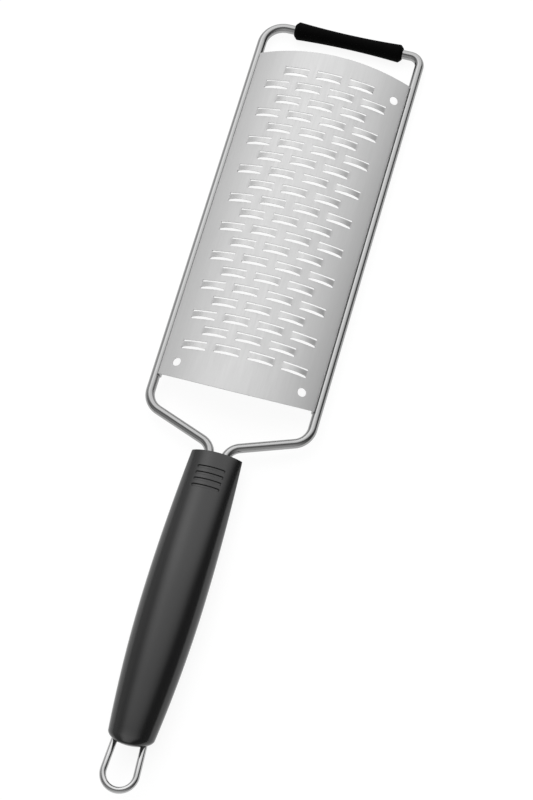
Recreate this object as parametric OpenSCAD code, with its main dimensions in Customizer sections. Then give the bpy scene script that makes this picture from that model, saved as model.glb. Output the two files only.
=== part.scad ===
// Two-sided hand grater. A crowned stainless plate with raised two-edged strips hangs in a bent wire frame.
// A rubber sleeve on the top bar is the foot, a moulded handle holds the wire's tangs and a hanging loop.
// Tool frame: +Y towards the head, wire axes in the plane z = 0, y = 0 at the front rim of the handle.
// The finished tool is laid on its sleeve and the belly of its handle, on a floor at z = 0.

/* [Frame wire] */
// Diameter of the frame rod
wire_d = 3.8; // [3:0.1:4.2]
// Width over the two rails
frame_w = 70; // [64:1:78]
// Axis of the top bar, from the handle's rim
top_bar_y = 190.4; // [170:0.1:210]
// Crossing of a rail's axis and its arm's axis, from the handle's rim
shoulder_y = 14.4; // [13.4:0.1:18]
// Slope of the two arms
arm_slope = 20; // [16:1:20]
// Distance between the axes of the two tangs
tang_gap = 6.2; // [5:0.1:8]
// Length of a tang behind the handle's rim
tang_len = 70; // [40:1:90]
// Bend radius of the wire's axis at the top left corner
top_left_bend_r = 9; // [4:0.1:11]
// Bend radius of the wire's axis at the top right corner
top_right_bend_r = 4.5; // [4:0.1:8]
// Bend radius of the wire's axis at the shoulders
shoulder_bend_r = 8; // [4:0.1:10]
// Bend radius of the wire's axis at the neck
neck_bend_r = 7; // [3:0.1:8]

/* [Foot sleeve] */
// Outer diameter of the rubber sleeve near its ends
sleeve_d = 7.5; // [7:0.1:9]
// Outer diameter of the sleeve in its waisted middle
sleeve_waist_d = 6.1; // [5.4:0.1:7]
// Length of the sleeve
sleeve_len = 46.2; // [30:0.1:52]
// How far the sleeve sits to the right of the middle
sleeve_shift = 1.9; // [-2:0.1:2]
// Chamfer of the sleeve's ends, along the bar
sleeve_chamfer_len = 1.3; // [0.5:0.1:3]
// Chamfer of the sleeve's ends, across the bar
sleeve_chamfer_depth = 1.3; // [0.3:0.1:1.3]

/* [Grater plate] */
// Thickness of the sheet
sheet_t = 0.5; // [0.4:0.05:0.8]
// Radius of the crown, at the sheet's middle surface
crown_r = 68; // [55:1:90]
// Height of the edge bend's axis above the wire axes; the crest and the tuck follow from it
edge_rise = 2.05; // [1:0.05:2.2]
// Upper corners of the plate, below the axis of the top bar
head_gap = 15.3; // [13:0.1:20]
// Lower corners of the plate, above the shoulder crossings
heel_gap = 12.1; // [11:0.1:20]
// How far the upper end bows out in the middle
head_bow = 2; // [0.5:0.1:4]
// How far the lower end bows out in the middle
heel_bow = 2.9; // [0.5:0.1:4]
// Radius of the bend from the crown down into the hem
edge_bend_r = 0.5; // [0.45:0.05:1]
// Angle that the hem wraps round the rail, from its inner side
hem_wrap = 110; // [60:5:150]
// Diameter of the three round holes
hole_d = 3.6; // [2.5:0.1:4]
// Lower holes, in from the plate's side edges
heel_hole_in = 6.3; // [4.5:0.1:9]
// Upper hole, in from the plate's right edge
head_hole_in = 4.3; // [3.5:0.1:9]
// Lower holes, above the plate's lower corners
heel_hole_y = 5.5; // [4:0.1:8]
// Upper hole, below the plate's upper corners
head_hole_y = 9.1; // [6:0.1:12]

/* [Cutting strips] */
// Distance between rows
row_pitch = 6.675; // [5.5:0.005:9]
// First row, below the plate's upper corners
head_margin = 8.3; // [8:0.05:16]
// Least distance of the last row from the plate's lower corners
heel_margin = 13; // [12:0.1:20]
// Distance between strips in a row, round the crown
strip_pitch = 13.9; // [12.5:0.1:14.5]
// Length of a strip's opening, round the crown
strip_len = 10.4; // [7:0.1:11]
// Width of a strip's opening, along the plate
window_w = 3.9; // [3:0.1:4.5]
// Width of a strip at its roots
strip_root_w = 2.4; // [2:0.1:2.8]
// Width of a strip in the middle
strip_waist_w = 2; // [1:0.1:2]
// Rise of a strip's middle above the sheet
strip_rise = 0.85; // [0.5:0.05:1.8]
// Thickness of a strip, etched from the sheet
strip_t = 0.38; // [0.25:0.01:0.4]

/* [Handle] */
// Length of the grip
grip_len = 119.5; // [105:0.5:140]
// Place of the thickest section, behind the rim
belly_s = 58; // [45:1:75]
// Width of the grip at its rim
grip_front_w = 20.4; // [20:0.1:24]
// Width of the grip at its belly
grip_belly_w = 24.3; // [23:0.1:30]
// Width of the grip where its tail starts to round
grip_tail_w = 18.2; // [18:0.1:24]
// Height of the grip at its rim
grip_front_h = 8.4; // [8:0.1:12]
// Height of the grip at its belly
grip_belly_h = 18; // [15:0.1:22]
// Height of the grip where its tail starts to round
grip_tail_h = 15; // [12:0.1:18]
// Edge radius at the rim
rim_r = 0.3; // [0.3:0.1:1]
// Length of the rounded tail, seen from above
tail_len = 4.5; // [3:0.1:7]
// Rounding of the tail's upper and lower edge, seen from the side
tail_edge = 1.5; // [1:0.1:3]
// Lean of the tail's end face, its top further back, as run over rise
tail_rake = 0.3; // [0:0.05:0.6]
// Length over which the lean grows
rake_len = 20; // [10:1:40]
// Fullness of the grip's section at its rim: 1 is a lens, 2 an ellipse
rim_fullness = 1.2; // [1.1:0.05:2]
// Fullness of the grip's section from its belly to its tail
belly_fullness = 2; // [1.8:0.05:2.4]
// Wall of the core round the wires
core_wall = 1.3; // [1.2:0.1:2]
// Front of the core, behind the rim
core_setback = 14; // [13:0.1:20]
// Rear of the core, ahead of the tail's tip
core_tail_gap = 6; // [5:0.1:12]

/* [Thumb grooves] */
// Number of grooves
groove_count = 4; // [2:1:5]
// First groove, behind the rim
groove_s = 7.3; // [6:0.1:14]
// Distance between grooves
groove_pitch = 2.75; // [2:0.05:4]
// Length of a groove, across the grip
groove_len = 11.4; // [8:0.1:13]
// Width of a groove
groove_w = 1.3; // [0.6:0.05:1.6]
// Depth of a groove
groove_depth = 0.5; // [0.3:0.05:0.8]

/* [Hanging loop] */
// Diameter of the loop's wire
loop_d = 2.6; // [1.8:0.1:3]
// Outer width of the loop
loop_w = 15.4; // [13.5:0.1:16]
// Reach of the loop behind the grip's tail
loop_reach = 18.6; // [14:0.1:26]
// Lean of each leg towards the axis
loop_lean = 3.2; // [0:0.1:5]
// Length of a leg inside the core
loop_leg_in = 16; // [8:0.5:30]

/* [Hidden] */
$fn = 64;

// Radial clearance of a wire in the piece that holds it, and of the core in the grip
wire_fit = 0.05;
core_fit = 0.05;
// Overshoot of a cut past the face it opens
overcut = 1;
// Sides of a bent rod, and the largest turn between two of its rings, in degrees
rod_sides = 24;
rod_turn = 10;

// Wire route
wire_r = wire_d / 2;
rail_x = frame_w / 2 - wire_r;
tang_x = tang_gap / 2;
neck_y = shoulder_y - (rail_x - tang_x) * tan(arm_slope);
frame_route = [[-tang_x, -tang_len], [-tang_x, neck_y], [-rail_x, shoulder_y], [-rail_x, top_bar_y],
    [rail_x, top_bar_y], [rail_x, shoulder_y], [tang_x, neck_y], [tang_x, -tang_len]];
frame_bends = [neck_bend_r, shoulder_bend_r, top_left_bend_r, top_right_bend_r, shoulder_bend_r, neck_bend_r];

// Sheet section, in x and z: hem round the rail, edge bend tucked over its inner flank, crown
hem_r = wire_r + wire_fit + sheet_t / 2;
tuck_angle = asin(edge_rise / (hem_r + edge_bend_r));
bend_x = rail_x - (hem_r + edge_bend_r) * cos(tuck_angle);
edge_x = bend_x + edge_bend_r;
crown_axis_z = edge_rise - sqrt(pow(crown_r - edge_bend_r, 2) - pow(bend_x, 2));
crown_half_angle = asin(bend_x / (crown_r - edge_bend_r));
hem_steps = 12;
bend_steps = 8;
crown_steps = 40;

// Plate ends and pattern
plate_y1 = top_bar_y - head_gap;
plate_y0 = shoulder_y + heel_gap;
plate_len = plate_y1 - plate_y0;
row_count = floor((plate_len - head_margin - heel_margin) / row_pitch) + 1;
heel_hole_angle = asin((edge_x - heel_hole_in) / crown_r);
head_hole_angle = asin((edge_x - head_hole_in) / crown_r);
// A row of three and a row of four take turns; places are in strip pitches from the middle
odd_row = [-1, 0, 1];
even_row = [-1.5, -0.5, 0.5, 1.5];
// A strip's root reaches this far into the sheet, and its arch starts this far in
strip_root = 0.6;
arch_root = 0.05;
arch_steps = 6;

// Grip and core
grip_points = 56;
body_steps = 16;
rim_steps = 3;
tail_steps = 8;
// The tail's last ring, in degrees round its quarter ellipse
tail_last = 85;
tail_s = grip_len - tail_len;
loop_r = (loop_w - loop_d) / 2;
loop_mid_y = -grip_len - loop_reach + loop_w / 2;
loop_entry_len = (-(grip_len - core_tail_gap) - loop_mid_y - loop_r * sin(loop_lean)) / cos(loop_lean);
loop_leg_len = loop_entry_len + loop_leg_in;
loop_root_x = loop_r * cos(loop_lean) - loop_entry_len * sin(loop_lean);
loop_bow_end = [loop_r * cos(loop_lean), loop_mid_y + loop_r * sin(loop_lean)];
loop_leg_end = loop_bow_end + loop_leg_len * [-sin(loop_lean), cos(loop_lean)];
core_half_h = wire_r + core_wall;
core_half_w = max(tang_x + wire_r, loop_root_x + loop_d / 2) + core_wall;
core_s1 = grip_len - core_tail_gap;

// Grip stations, behind the rim: rounded rim, body, rounded tail
rim_stations = [for (i = [0 : rim_steps - 1]) rim_r * (1 - cos(90 * i / rim_steps))];
body_stations = [for (i = [0 : body_steps]) rim_r + (tail_s - rim_r) * i / body_steps];
tail_stations = [for (i = [1 : tail_steps]) tail_s + tail_len * sin(tail_last * i / tail_steps)];
grip_stations = concat(rim_stations, body_stations, tail_stations);

// Lie of the tool: a floor under the sleeve that just touches the belly
sleeve_r = sleeve_d / 2;
sleeve_steps = 12;
lie_angles = [for (s = grip_stations) let (h = half_size(s, grip_front_h, grip_belly_h, grip_tail_h, 0, tail_edge),
    run = top_bar_y + s) atan2(h, run) - asin(sleeve_r / norm([h, run]))];
lie_angle = max(lie_angles);
lie_z = top_bar_y * sin(lie_angle) + sleeve_r;
head_end_y = top_bar_y * cos(lie_angle) + sleeve_r;
tail_end_y = (loop_mid_y - loop_r) * cos(lie_angle) - loop_d / 2;
lie_y = -(head_end_y + tail_end_y) / 2;

// A value that swells in a parabola from both ends to the belly
function swell(s, front, belly, tail) = s < belly_s
    ? belly - (belly - front) * pow((belly_s - s) / belly_s, 2)
    : belly - (belly - tail) * pow((s - belly_s) / (tail_s - belly_s), 2);

// Half width or half height of the grip at a station, less an inset
function half_size(s, front, belly, tail, inset, round_len) =
    let (edge = s < rim_r ? rim_r - sqrt(pow(rim_r, 2) - pow(rim_r - s, 2)) : 0,
        round_s = grip_len - round_len,
        close = s > round_s ? sqrt(1 - pow((s - round_s) / round_len, 2)) : 1)
    (swell(min(s, tail_s), front, belly, tail) / 2 - edge) * close - inset;

// One ring of the grip, a lens at the rim that fills out to an ellipse
function grip_ring(s, inset) =
    let (a = half_size(s, grip_front_w, grip_belly_w, grip_tail_w, inset, tail_len),
        b = half_size(s, grip_front_h, grip_belly_h, grip_tail_h, inset, tail_edge),
        part = max(0, min(1, (s - tail_s + rake_len) / rake_len)),
        rake = tail_rake * part * part * (3 - 2 * part),
        fullness = swell(min(s, tail_s), rim_fullness, belly_fullness, belly_fullness))
    [for (i = [0 : grip_points - 1]) let (t = 360 * i / grip_points,
            z = b * sign(sin(t)) * pow(abs(sin(t)), 2 / fullness))
        [a * cos(t), -s - rake * z, z]];

// Radius of a plate end that bows out by a given amount
function bow_radius(bow) = (pow(edge_x, 2) + pow(bow, 2)) / (2 * bow);

// Sheet section skin at an offset from the middle surface, from the right hem to the left
function section_half(o) = concat(
    [for (i = [0 : hem_steps]) let (t = 180 + hem_wrap - (hem_wrap + tuck_angle) * i / hem_steps)
        [rail_x + (hem_r - o) * cos(t), (hem_r - o) * sin(t)]],
    [for (i = [1 : bend_steps]) let (t = (90 - crown_half_angle + tuck_angle) * i / bend_steps - tuck_angle)
        [bend_x + (edge_bend_r + o) * cos(t), edge_rise + (edge_bend_r + o) * sin(t)]]);
function flipped(points) = [for (i = [len(points) - 1 : -1 : 0]) points[i]];
function mirrored(points) = [for (p = flipped(points)) [-p[0], p[1]]];
function section_skin(o) = concat(section_half(o),
    [for (i = [1 : crown_steps - 1]) let (t = crown_half_angle * (1 - 2 * i / crown_steps))
        [(crown_r + o) * sin(t), crown_axis_z + (crown_r + o) * cos(t)]],
    mirrored(section_half(o)));

// Heading of a route's stretch, and the turn at a corner, in degrees
function heading(p, q) = atan2(q[1] - p[1], q[0] - p[0]);
function turn(a, b) = let (d = b - a) d > 180 ? d - 360 : d < -180 ? d + 360 : d;
function corner_turn(route, i) = turn(heading(route[i - 1], route[i]), heading(route[i], route[i + 1]));
function corner_cut(route, bends, i) = bends[i - 1] * tan(abs(corner_turn(route, i)) / 2);

// Stations along a rod's axis, as x, y and heading: on an arc, at a route's corner, and on a whole route
function arc_stations(center, radius, a, sweep) =
    let (steps = ceil(abs(sweep) / rod_turn), side = sign(sweep))
    [for (j = [0 : steps]) let (h = a + sweep * j / steps)
        [center[0] + side * radius * sin(h), center[1] - side * radius * cos(h), h]];
function corner_stations(route, bends, i) =
    let (a = heading(route[i - 1], route[i]), sweep = corner_turn(route, i),
        start = route[i] - corner_cut(route, bends, i) * [cos(a), sin(a)])
    arc_stations(start + sign(sweep) * bends[i - 1] * [-sin(a), cos(a)], bends[i - 1], a, sweep);
function end_station(p, a) = [p[0], p[1], a];
function route_stations(route, bends) = let (last = len(route) - 1)
    concat([end_station(route[0], heading(route[0], route[1]))],
        [for (i = [1 : last - 1]) each corner_stations(route, bends, i)],
        [end_station(route[last], heading(route[last - 1], route[last]))]);
function rod_ring(s, r) = [for (k = [0 : rod_sides - 1]) let (t = 360 * k / rod_sides)
    [s[0] - r * cos(t) * sin(s[2]), s[1] + r * cos(t) * cos(s[2]), r * sin(t)]];

// Lays the tool on the floor
module laid() {
    translate([0, lie_y, lie_z]) rotate([-lie_angle, 0, 0]) children();
}

// A straight round rod in the wire plane
module straight_rod(p, angle, length, r) {
    translate([p[0], p[1], 0]) rotate([0, 0, angle]) rotate([0, 90, 0]) cylinder(h = length, r = r);
}

// A round rod swept through stations in the wire plane
module bent_rod(stations, r) {
    loft([for (s = stations) rod_ring(s, r)]);
}

// Places children on the crown's middle surface, at an angle from the middle and a place along the plate
module on_crown(angle, y) {
    translate([0, y, crown_axis_z]) rotate([0, angle, 0]) translate([0, 0, crown_r]) children();
}

// Places children at every strip of the pattern
module at_strips() {
    for (row = [0 : row_count - 1])
        for (place = row % 2 == 0 ? odd_row : even_row)
            on_crown(place * strip_pitch / crown_r * 180 / PI, plate_y1 - head_margin - row * row_pitch)
                children();
}

// One raised strip, waisted and arched, with its roots inside the sheet
module cutting_strip() {
    half = strip_len / 2;
    arch = half + arch_root;
    places = concat([-half - strip_root], [for (i = [0 : arch_steps]) arch * (2 * i / arch_steps - 1)],
        [half + strip_root]);
    rings = [for (u = places)
        let (t = min(abs(u) / arch, 1),
            w = strip_waist_w + (strip_root_w - strip_waist_w) * t * t,
            z = strip_rise * (1 - t * t) - u * u / (2 * crown_r))
        [[u, -w / 2, z - strip_t / 2], [u, w / 2, z - strip_t / 2],
         [u, w / 2, z + strip_t / 2], [u, -w / 2, z + strip_t / 2]]];
    loft(rings);
}

// A closed loft through rings of equal count, counter-clockwise as seen from the last ring
module loft(rings) {
    n = len(rings[0]);
    m = len(rings);
    sides = [for (j = [0 : m - 2]) for (i = [0 : n - 1])
        [j * n + i, (j + 1) * n + i, (j + 1) * n + (i + 1) % n, j * n + (i + 1) % n]];
    polyhedron(points = [for (ring = rings) each ring],
        faces = concat(sides, [[for (i = [0 : n - 1]) i]], [[for (i = [n - 1 : -1 : 0]) (m - 1) * n + i]]));
}

// The core's section, and its prism along the handle
module core_section(fit) {
    flat = core_half_w - core_half_h;
    square([2 * flat, 2 * (core_half_h + fit)], center = true);
    for (side = [-1, 1]) translate([side * flat, 0]) circle(r = core_half_h + fit);
}

module core_prism(s0, s1, fit) {
    translate([0, -s0, 0]) rotate([90, 0, 0]) linear_extrude(s1 - s0) core_section(fit);
}

// Both tangs of the frame wire, up to the end of their neck bends
module tangs(r) {
    left = concat([end_station(frame_route[0], 90)], corner_stations(frame_route, frame_bends, 1));
    bent_rod(left, r);
    mirror([1, 0, 0]) bent_rod(left, r);
}

// Both legs of the loop, from its bow into the core
module loop_legs(r) {
    for (side = [-1, 1])
        straight_rod([side * loop_bow_end[0], loop_bow_end[1]], 90 + side * loop_lean, loop_leg_len, r);
}

// Thumb grooves, cut down to a skin inside the grip
module thumb_grooves() {
    last_s = groove_s + (groove_count - 1) * groove_pitch;
    difference() {
        for (i = [0 : groove_count - 1])
            translate([0, -groove_s - i * groove_pitch, 0]) linear_extrude(grip_belly_h) {
                square([groove_len - groove_w, groove_w], center = true);
                for (side = [-1, 1]) translate([side * (groove_len - groove_w) / 2, 0]) circle(d = groove_w);
            }
        loft([for (s = [groove_s - groove_pitch : groove_pitch : last_s + 1.5 * groove_pitch])
            grip_ring(s, groove_depth)]);
    }
}

module grater_plate() {
    head_bow_r = bow_radius(head_bow);
    heel_bow_r = bow_radius(heel_bow);
    color("silver") laid() {
        difference() {
            intersection() {
                translate([0, plate_y1 + head_bow, 0]) rotate([90, 0, 0])
                    linear_extrude(plate_len + head_bow + heel_bow)
                        polygon(concat(section_skin(sheet_t / 2), flipped(section_skin(-sheet_t / 2))));
                translate([0, 0, -crown_r]) linear_extrude(2 * crown_r) intersection() {
                    translate([-frame_w / 2, plate_y0 - heel_bow])
                        square([frame_w, plate_len + head_bow + heel_bow]);
                    translate([0, plate_y1 + head_bow - head_bow_r]) circle(r = head_bow_r, $fn = 360);
                    translate([0, plate_y0 - heel_bow + heel_bow_r]) circle(r = heel_bow_r, $fn = 360);
                }
            }
            at_strips() cube([strip_len, window_w, 2 * (sheet_t + overcut)], center = true);
            for (side = [-1, 1])
                on_crown(side * heel_hole_angle, plate_y0 + heel_hole_y)
                    cylinder(h = 2 * (sheet_t + overcut), d = hole_d, center = true);
            on_crown(head_hole_angle, plate_y1 - head_hole_y)
                cylinder(h = 2 * (sheet_t + overcut), d = hole_d, center = true);
        }
        at_strips() cutting_strip();
    }
}

module frame_wire() {
    color("gainsboro") laid() bent_rod(route_stations(frame_route, frame_bends), wire_r);
}

module foot_sleeve() {
    bore_r = wire_r + wire_fit;
    end_r = sleeve_r - sleeve_chamfer_depth;
    waist = [for (i = [0 : sleeve_steps]) let (t = 2 * i / sleeve_steps - 1)
        [sleeve_r - (sleeve_d - sleeve_waist_d) / 2 * (1 - t * t),
         sleeve_chamfer_len + (sleeve_len - 2 * sleeve_chamfer_len) * i / sleeve_steps]];
    color("black") laid()
        translate([sleeve_shift - sleeve_len / 2, top_bar_y, 0]) rotate([0, 90, 0])
            rotate_extrude() polygon(concat([[bore_r, 0], [end_r, 0]], waist,
                [[end_r, sleeve_len], [bore_r, sleeve_len]]));
}

module handle_core() {
    color("dimgray") laid() difference() {
        core_prism(core_setback, core_s1, 0);
        for (side = [-1, 1])
            straight_rod([side * tang_x, -tang_len], 90, tang_len, wire_r + wire_fit);
        loop_legs(loop_d / 2 + wire_fit);
    }
}

module handle_grip() {
    color("#2b2b2d") laid() difference() {
        loft([for (s = grip_stations) grip_ring(s, 0)]);
        core_prism(core_setback - core_fit, core_s1 + core_fit, core_fit);
        tangs(wire_r + wire_fit);
        loop_legs(loop_d / 2 + wire_fit);
        thumb_grooves();
    }
}

module hanging_loop() {
    color("gainsboro") laid() bent_rod(concat([end_station(loop_leg_end, loop_lean - 90)],
        arc_stations([0, loop_mid_y], loop_r, loop_lean - 90, -180 - 2 * loop_lean),
        [end_station([-loop_leg_end[0], loop_leg_end[1]], 90 - loop_lean)]), loop_d / 2);
}

grater_plate();
frame_wire();
foot_sleeve();
handle_core();
handle_grip();
hanging_loop();
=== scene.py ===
"""Looks of a two-sided hand grater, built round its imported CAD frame.

Sizes are millimetres in the tool frame: +Y towards the head, wire axes in z = 0, y = 0 at the
handle's front rim. ToolFrame.place turns them into metres in the row frame, where the tool lies
on its sleeve and its belly.
"""

import logging
import math
from collections.abc import Callable
from dataclasses import dataclass, field
from enum import Enum

import bpy
from mathutils import Matrix, Vector


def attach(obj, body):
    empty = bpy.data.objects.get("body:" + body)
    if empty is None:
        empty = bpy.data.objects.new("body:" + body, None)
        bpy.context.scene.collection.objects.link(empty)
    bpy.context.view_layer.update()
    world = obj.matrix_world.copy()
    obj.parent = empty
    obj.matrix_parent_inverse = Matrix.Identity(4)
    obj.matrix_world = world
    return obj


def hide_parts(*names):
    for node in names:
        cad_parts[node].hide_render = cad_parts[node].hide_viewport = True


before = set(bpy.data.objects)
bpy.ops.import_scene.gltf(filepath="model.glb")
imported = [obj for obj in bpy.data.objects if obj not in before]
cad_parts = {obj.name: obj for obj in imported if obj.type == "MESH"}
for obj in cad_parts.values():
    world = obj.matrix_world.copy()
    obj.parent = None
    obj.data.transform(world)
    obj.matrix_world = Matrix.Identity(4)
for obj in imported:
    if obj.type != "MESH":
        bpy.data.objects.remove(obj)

LOG = logging.getLogger("grater")
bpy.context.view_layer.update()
MM = 0.001
SHARP_DEG = 50.0
# Point attribute that carries the painted highlight along the strips' edges
EDGE_HIGHLIGHT_MARK = "painted_edge_highlight"

Point = tuple[float, float, float]
Pair = tuple[float, float]
Colour = tuple[float, float, float]
Socket = bpy.types.NodeSocket
Sockets = bpy.types.bpy_prop_collection


class Body(Enum):
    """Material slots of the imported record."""

    ROOT = "root"


class Slot(Enum):
    """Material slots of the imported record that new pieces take."""

    PLATE = "plate_steel"
    WIRE = "wire_steel"
    SLEEVE = "sleeve_rubber"
    GRIP = "grip_plastic"


class Node(Enum):
    """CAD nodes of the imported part."""

    PLATE = "grater_plate"
    WIRE = "frame_wire"
    SLEEVE = "foot_sleeve"
    CORE = "handle_core"
    GRIP = "handle_grip"
    LOOP = "hanging_loop"


@dataclass(frozen=True)
class ToolFrame:
    """Lie of the tool on the floor, as in the part's source."""

    lie_deg: float = 1.22918
    lie_y: float = -28.01883
    lie_z: float = 7.83438

    def rotation(self) -> Matrix:
        """Turn from the tool frame to the row frame."""
        return Matrix.Rotation(math.radians(-self.lie_deg), 3, "X")

    def place(self, point: Point) -> Vector:
        """Row-frame place, in metres, of a point of the tool, in mm."""
        return (self.rotation() @ Vector(point) + Vector((0, self.lie_y, self.lie_z))) * MM


TOOL = ToolFrame()


@dataclass
class MeshDraft:
    """Points and faces of one piece, in the tool frame, before it becomes an object."""

    points: list[Point] = field(default_factory=list)
    faces: list[tuple[int, ...]] = field(default_factory=list)
    corner_uvs: list[list[Pair]] = field(default_factory=list)
    marks: dict[int, float] = field(default_factory=dict)

    def point(self, place: Point, mark: float = 0.0) -> int:
        """Adds one point.

        Args:
            place: x, y and z in mm.
            mark: the point's share of the painted edge highlight, from 0 to 1.

        Returns:
            The point's index.
        """
        self.points.append(place)
        if mark:
            self.marks[len(self.points) - 1] = mark
        return len(self.points) - 1

    def face(self, corners: tuple[int, ...], uvs: list[Pair] | None = None) -> None:
        """Adds a face: its corners counter-clockwise from outside, and its uvs, or else zeros."""
        self.faces.append(corners)
        self.corner_uvs.append(uvs or [(0.0, 0.0)] * len(corners))

    def ring(self, places: list[Point]) -> list[int]:
        """Adds a ring of points and returns their indices."""
        return [self.point(p) for p in places]

    def band(self, first: list[int], second: list[int], along: Pair = (0.0, 1.0)) -> None:
        """Joins two closed rings of equal count.

        Args:
            first: indices of the first ring, counter-clockwise seen from the second.
            second: indices of the second ring.
            along: the first texture coordinate at each ring.
        """
        count = len(first)
        for i in range(count):
            j = (i + 1) % count
            u0, u1 = i / count, (i + 1) / count
            self.face(
                (first[i], first[j], second[j], second[i]),
                [(along[0], u0), (along[0], u1), (along[1], u1), (along[1], u0)],
            )

    def close(self, rings: list[list[int]]) -> None:
        """Closes both ends of a row of rings."""
        self.face(tuple(reversed(rings[0])))
        self.face(tuple(rings[-1]))

    def to_object(self, name: str, sharp_deg: float = SHARP_DEG) -> bpy.types.Object:
        """Makes the object.

        Args:
            name: the piece's name.
            sharp_deg: edges that turn by more than this stay sharp.

        Returns:
            The new object, linked to the scene.
        """
        mesh = bpy.data.meshes.new(name)
        mesh.from_pydata([TOOL.place(p) for p in self.points], [], self.faces)
        layer = mesh.uv_layers.new(name="run")
        flat = [uv for corners in self.corner_uvs for uv in corners]
        for loop, uv in zip(layer.data, flat):
            loop.uv = uv
        # The marked points carry the painted edge highlight
        if self.marks:
            attribute = mesh.attributes.new(EDGE_HIGHLIGHT_MARK, "FLOAT", "POINT")
            for index, value in self.marks.items():
                attribute.data[index].value = value
        mesh.validate()
        mesh.polygons.foreach_set("use_smooth", [True] * len(mesh.polygons))
        mesh.set_sharp_from_angle(angle=math.radians(sharp_deg))
        obj = bpy.data.objects.new(name, mesh)
        bpy.context.scene.collection.objects.link(obj)
        return obj


def set_material(obj: bpy.types.Object, material: bpy.types.Material) -> None:
    """Gives a piece or CAD node one material."""
    obj.data.materials.clear()
    obj.data.materials.append(material)


def dress(obj: bpy.types.Object, material: bpy.types.Material, node: Node, slot: Slot) -> None:
    """Dresses a piece and sets it on the tool's body in place of its CAD node.

    Args:
        obj: the finished piece.
        material: its material.
        node: the CAD node that it stands for.
        slot: the record's material slot; not used.
    """
    set_material(obj, material)
    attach(obj, Body.ROOT.value)
    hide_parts(node.value)
    LOG.info("%s stands for %s, %d faces", obj.name, node.value, len(obj.data.polygons))


def carve(obj: bpy.types.Object, cutters: list[bpy.types.Object]) -> None:
    """Cuts other pieces out of a piece and removes them.

    Args:
        obj: the piece.
        cutters: closed pieces to cut away.
    """
    for cutter in cutters:
        cut = obj.modifiers.new(cutter.name, "BOOLEAN")
        cut.operation, cut.solver, cut.object = "DIFFERENCE", "EXACT", cutter
    whole = obj.data
    graph = bpy.context.evaluated_depsgraph_get()
    carved = bpy.data.meshes.new_from_object(obj.evaluated_get(graph))
    obj.modifiers.clear()
    obj.data = carved
    carved.set_sharp_from_angle(angle=math.radians(SHARP_DEG))
    spent = [whole, *(cutter.data for cutter in cutters)]
    for cutter in cutters:
        bpy.data.objects.remove(cutter)
    for mesh in spent:
        bpy.data.meshes.remove(mesh)
    carved.name = obj.name


def smooth_step(value: float) -> float:
    """Smooth ramp from 0 to 1."""
    t = min(max(value, 0.0), 1.0)
    return t * t * (3 - 2 * t)


def spread(start: float, end: float, count: int) -> list[float]:
    """Even values from start to end, both included."""
    return [start + (end - start) * i / count for i in range(count + 1)]


def full_turn(count: int) -> list[float]:
    """Even angles round a ring, in radians."""
    return [2 * math.pi * k / count for k in range(count)]


class NodeCanvas:
    """Adds and links nodes in one node tree."""

    def __init__(self, tree: bpy.types.NodeTree) -> None:
        """Starts on a tree."""
        self.tree = tree

    def add(self, kind: str, inputs: dict | None = None, **settings: object) -> bpy.types.Node:
        """Adds a node.

        Args:
            kind: the node's type name.
            inputs: values, or sockets to link from, by input name or number.
            settings: the node's own properties.

        Returns:
            The new node.
        """
        node = self.tree.nodes.new(kind)
        for key, value in settings.items():
            setattr(node, key, value)
        for key, value in (inputs or {}).items():
            if isinstance(value, Socket):
                self.tree.links.new(value, node.inputs[key])
            else:
                node.inputs[key].default_value = value
        return node

    def math(self, operation: str, *terms: object) -> Socket:
        """Adds a math node and returns its output."""
        return self.add("ShaderNodeMath", dict(enumerate(terms)), operation=operation).outputs[0]

    def noise(self, vector: Socket, scale: object, detail: float, roughness: float) -> Socket:
        """Adds a noise texture and returns its value."""
        inputs = {"Vector": vector, "Scale": scale, "Detail": detail, "Roughness": roughness}
        return self.add("ShaderNodeTexNoise", inputs).outputs[0]

    def facing(self, direction: Socket, axis: Point) -> Socket:
        """Adds the cosine between a direction and an axis and returns it."""
        inputs = {0: direction, 1: axis}
        return self.add("ShaderNodeVectorMath", inputs, operation="DOT_PRODUCT").outputs["Value"]

    def rise(self, value: Socket, span: Pair, top: float) -> Socket:
        """Adds a smooth rise of a value, from 0 below a span to top above it, and returns it."""
        limits = {"Value": value, "From Min": span[0], "From Max": span[1], "To Max": top}
        return self.add("ShaderNodeMapRange", limits, interpolation_type="SMOOTHSTEP").outputs[0]


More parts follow.
